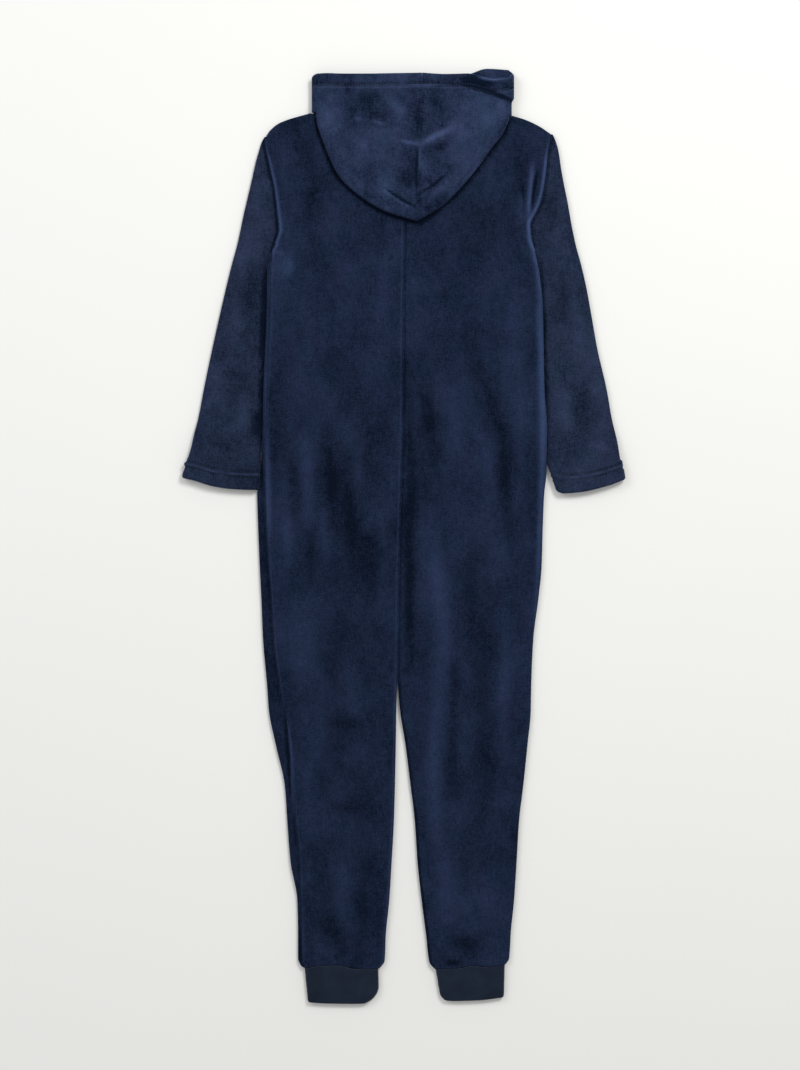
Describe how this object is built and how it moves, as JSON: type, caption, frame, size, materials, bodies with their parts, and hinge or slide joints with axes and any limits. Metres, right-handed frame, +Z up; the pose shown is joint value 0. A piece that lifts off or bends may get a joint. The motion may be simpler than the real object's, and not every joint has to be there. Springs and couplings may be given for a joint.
{
  "type": "onesie pajama",
  "caption": "Child's hooded onesie pajama in navy pile fleece with long sleeves and rib ankle cuffs, lying flat with its back up and the hood folded down.",
  "frame": {"origin": "middle of the outline, on the surface that the garment lies on", "axes": "+Z up from that surface and out of the garment's back, +Y towards the hood, +X to the right of somebody looking down on it"},
  "size_m": [0.5297, 1.1177, 0.0142],
  "materials": {
    "fleece": "brushed pile fleece, soft sheen",
    "rib": "fine rib knit, matt",
    "zip": "woven tape with a nylon coil, satin",
    "slider": "satin metal"
  },
  "bodies": {
    "root": {"back_left": "fleece", "back_right": "fleece", "front_left": "fleece", "front_right": "fleece", "sleeve_left": "fleece", "sleeve_right": "fleece", "hood_left": "fleece", "hood_right": "fleece", "cuff_left": "rib", "cuff_right": "rib", "zip_chain": "zip", "zip_slider": "slider"}
  },
  "joints": []
}
